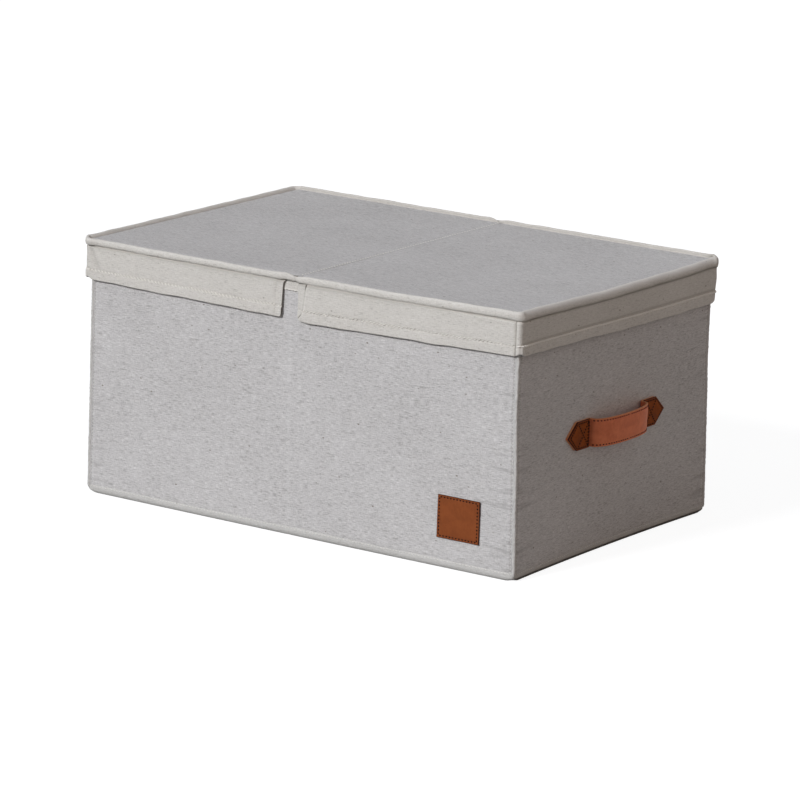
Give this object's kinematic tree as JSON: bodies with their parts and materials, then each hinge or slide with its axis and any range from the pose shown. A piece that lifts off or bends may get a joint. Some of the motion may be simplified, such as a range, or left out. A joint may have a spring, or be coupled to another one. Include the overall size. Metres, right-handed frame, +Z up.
{
  "type": "storage box",
  "caption": "Rectangular canvas storage box with a lift-off lid that folds at its middle, cream bound edges, leather end straps and a bare leather patch.",
  "frame": {"origin": "centre of the underside, on the surface the box stands on", "axes": "+X along the length to the right-hand end, +Y to the back so that the front faces -Y, +Z up"},
  "size_m": [0.5372, 0.3604, 0.26],
  "materials": {
    "canvas": "matt slub-woven cotton and linen canvas, natural grey-beige with fine dark flecks",
    "cream_cloth": "matt plain-woven cream cotton, sewn as binding, piping and hemmed skirt",
    "lining": "matt off-white nonwoven lining",
    "board": "plain grey board, hidden inside the cloth",
    "strap_leather": "smooth tan leather with a soft sheen and dark edge stitching",
    "tab_leather": "darker red-brown leather, box-stitched",
    "patch_leather": "matt brown leather, bare, with small edge stitches"
  },
  "bodies": {
    "tub": {"front_canvas": "canvas", "back_canvas": "canvas", "left_end_canvas": "canvas", "right_end_canvas": "canvas", "floor_cloth": "canvas", "front_board_left": "board", "front_board_right": "board", "back_board_left": "board", "back_board_right": "board", "left_end_board": "board", "right_end_board": "board", "inner_lining": "lining", "bottom_binding": "cream_cloth", "rim_binding": "cream_cloth", "corner_welt_front_left": "cream_cloth", "corner_welt_front_right": "cream_cloth", "corner_welt_back_left": "cream_cloth", "corner_welt_back_right": "cream_cloth", "leather_patch": "patch_leather", "base_board_left": "board", "base_cover_left": "lining", "base_crease_strip": "lining", "left_strap_end_front": "strap_leather", "left_strap_end_back": "strap_leather", "left_handle_tab_front": "tab_leather", "left_handle_tab_back": "tab_leather", "right_strap_end_front": "strap_leather", "right_strap_end_back": "strap_leather", "right_handle_tab_front": "tab_leather", "right_handle_tab_back": "tab_leather"},
    "base_right": {"base_board_right": "board", "base_cover_right": "lining"},
    "lid_crease": {"lid_crease_strip": "canvas", "lid_crease_piping_front": "cream_cloth", "lid_crease_piping_back": "cream_cloth"},
    "lid_left": {"lid_cover_left": "canvas", "lid_board_left": "board", "lid_lining_left": "lining", "lid_piping_left": "cream_cloth", "lid_skirt_left_front": "cream_cloth", "lid_skirt_left_back": "cream_cloth", "lid_skirt_left_end": "cream_cloth"},
    "lid_right": {"lid_cover_right": "canvas", "lid_board_right": "board", "lid_lining_right": "lining", "lid_piping_right": "cream_cloth", "lid_skirt_right_front": "cream_cloth", "lid_skirt_right_back": "cream_cloth", "lid_skirt_right_end": "cream_cloth"},
    "left_strap": {"left_handle_strap": "strap_leather"},
    "right_strap": {"right_handle_strap": "strap_leather"}
  },
  "joints": [
    {"name": "lid_lift", "type": "slide", "parent": "tub", "child": "lid_crease", "axis": [0, 0, 1], "range_m": [0, 0.15]},
    {"name": "lid_left_fold", "type": "hinge", "parent": "lid_crease", "child": "lid_left", "pos_m": [-0.00315, 0, 0.26], "axis": [0, 1, 0], "range_deg": [0, 89]},
    {"name": "lid_right_fold", "type": "hinge", "parent": "lid_crease", "child": "lid_right", "pos_m": [0.00315, 0, 0.26], "axis": [0, -1, 0], "range_deg": [0, 89]},
    {"name": "base_fold", "type": "hinge", "parent": "tub", "child": "base_right", "pos_m": [0.00235, 0, 0.00575], "axis": [0, -1, 0], "range_deg": [0, 180]},
    {"name": "left_handle_swing", "type": "hinge", "parent": "tub", "child": "left_strap", "pos_m": [-0.25, 0, 0.122], "axis": [0, 1, 0], "range_deg": [-30, 30]},
    {"name": "right_handle_swing", "type": "hinge", "parent": "tub", "child": "right_strap", "pos_m": [0.25, 0, 0.122], "axis": [0, -1, 0], "range_deg": [-30, 30]}
  ]
}
